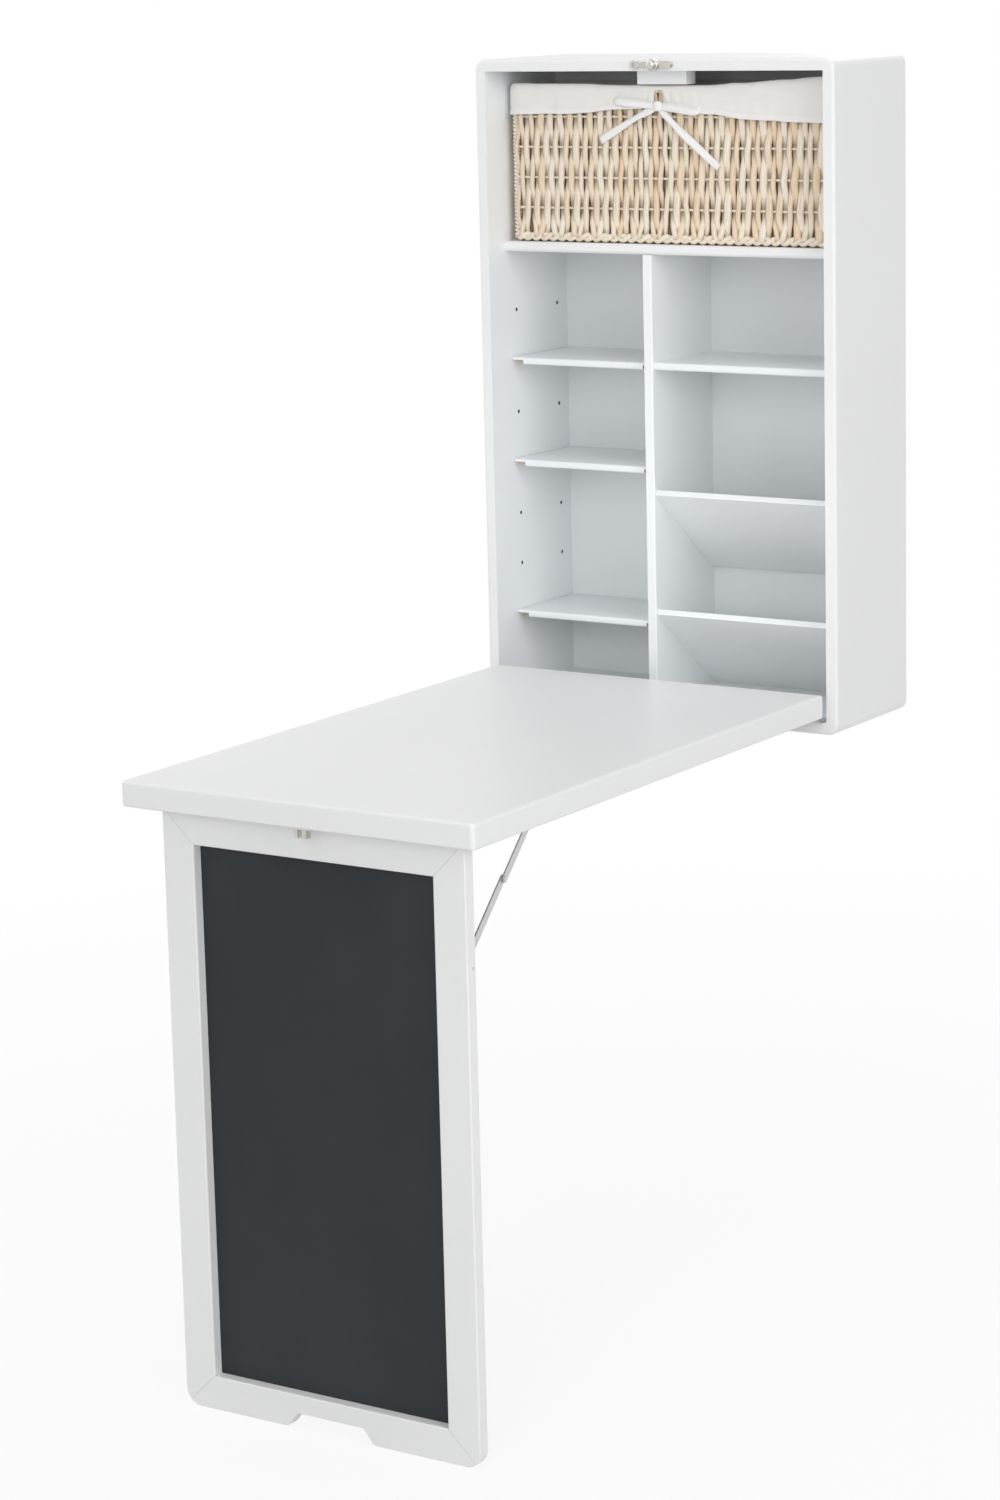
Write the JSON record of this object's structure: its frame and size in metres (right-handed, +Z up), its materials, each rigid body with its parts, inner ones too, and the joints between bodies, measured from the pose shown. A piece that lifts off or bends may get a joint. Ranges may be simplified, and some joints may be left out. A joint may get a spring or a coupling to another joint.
{
  "type": "wall-mounted folding table",
  "caption": "Shallow white wall cabinet with shelves, tilted bins and a lined basket; its front folds down as a table on a fold-out blackboard leg held by folding stays.",
  "frame": {"origin": "on the wall plane, midway between the two wall screw holes in the hanging rail", "axes": "+Z up, +Y into the wall, +X to the right for someone facing the wall; stored with the table down and the leg out"},
  "size_m": [0.51, 0.9802, 1.5209],
  "materials": {
    "white_paint": "satin white paint",
    "slate_paint": "matte blackboard paint",
    "zinc_plate": "zinc plated",
    "nickel_plate": "satin nickel plated",
    "beige_plastic": "matte",
    "bare_beech": "bare",
    "wicker": "pale split wicker",
    "cotton": "plain cotton",
    "ribbon": "woven ribbon"
  },
  "bodies": {
    "cabinet": {"cabinet_left_side": "white_paint", "cabinet_right_side": "white_paint", "cabinet_top": "white_paint", "cabinet_bottom": "white_paint", "back_board": "white_paint", "hanging_rail": "white_paint", "corner_dowels": "bare_beech", "basket_shelf": "white_paint", "centre_divider": "white_paint", "right_shelf": "white_paint", "lower_bin_board": "white_paint", "upper_bin_board": "white_paint", "left_shelf_lower": "white_paint", "left_shelf_middle": "white_paint", "left_shelf_upper": "white_paint", "shelf_pins": "beige_plastic", "stop_block": "white_paint", "latch_base": "nickel_plate", "latch_screws": "nickel_plate", "basket": "wicker", "basket_liner": "cotton", "ribbon_bow": "ribbon", "table_hinge_cabinet_leaf": "zinc_plate", "table_hinge_pin": "zinc_plate", "table_hinge_cabinet_screws": "zinc_plate"},
    "latch": {"latch_arm": "nickel_plate", "latch_knob": "nickel_plate"},
    "table": {"table_board": "white_paint", "table_front_rim": "white_paint", "table_left_rim": "white_paint", "table_right_rim": "white_paint", "table_hinge_table_leaf": "zinc_plate", "table_hinge_table_screws": "zinc_plate", "latch_keeper": "nickel_plate", "keeper_screws": "nickel_plate", "leg_hinge_board_leaves": "zinc_plate", "leg_hinge_board_screws": "zinc_plate", "leg_hinge_pins": "zinc_plate", "stay_table_brackets": "zinc_plate", "stay_bracket_screws": "zinc_plate", "stay_bracket_rivets": "zinc_plate"},
    "leg": {"leg_left_stile": "white_paint", "leg_right_stile": "white_paint", "leg_top_rail": "white_paint", "leg_bottom_rail": "white_paint", "blackboard": "slate_paint", "leg_hinge_leg_leaves": "zinc_plate", "leg_hinge_leg_screws": "zinc_plate", "stay_leg_pins": "zinc_plate"},
    "left_upper_stay": {"left_upper_link": "zinc_plate", "left_knee_rivet": "zinc_plate"},
    "left_lower_stay": {"left_lower_link": "zinc_plate"},
    "right_upper_stay": {"right_upper_link": "zinc_plate", "right_knee_rivet": "zinc_plate"},
    "right_lower_stay": {"right_lower_link": "zinc_plate"}
  },
  "joints": [
    {"name": "table_fold", "type": "hinge", "parent": "cabinet", "child": "table", "pos_m": [0, -0.1915, -0.7557], "axis": [-1, 0, 0], "range_deg": [0, 90]},
    {"name": "leg_fold", "type": "hinge", "parent": "table", "child": "leg", "pos_m": [0, -0.9322, -0.735], "axis": [1, 0, 0], "range_deg": [0, 90]},
    {"name": "latch_turn", "type": "hinge", "parent": "cabinet", "child": "latch", "pos_m": [0.008, -0.188, 0.0425], "axis": [0, -1, 0], "range_deg": [0, 90]},
    {"name": "left_upper_stay_turn", "type": "hinge", "parent": "table", "child": "left_upper_stay", "pos_m": [-0.195, -0.7822, -0.74], "axis": [1, 0, 0], "range_deg": [-45, 0]},
    {"name": "left_lower_stay_turn", "type": "hinge", "parent": "leg", "child": "left_lower_stay", "pos_m": [-0.1925, -0.9372, -0.895], "axis": [1, 0, 0], "range_deg": [0, 45]},
    {"name": "right_upper_stay_turn", "type": "hinge", "parent": "table", "child": "right_upper_stay", "pos_m": [0.195, -0.7822, -0.74], "axis": [1, 0, 0], "range_deg": [-45, 0]},
    {"name": "right_lower_stay_turn", "type": "hinge", "parent": "leg", "child": "right_lower_stay", "pos_m": [0.1925, -0.9372, -0.895], "axis": [1, 0, 0], "range_deg": [0, 45]}
  ],
  "couplings": [
    {"joint": "left_upper_stay_turn", "follows": "leg_fold", "ratio": -0.5},
    {"joint": "left_lower_stay_turn", "follows": "leg_fold", "ratio": 0.5},
    {"joint": "right_upper_stay_turn", "follows": "leg_fold", "ratio": -0.5},
    {"joint": "right_lower_stay_turn", "follows": "leg_fold", "ratio": 0.5}
  ]
}
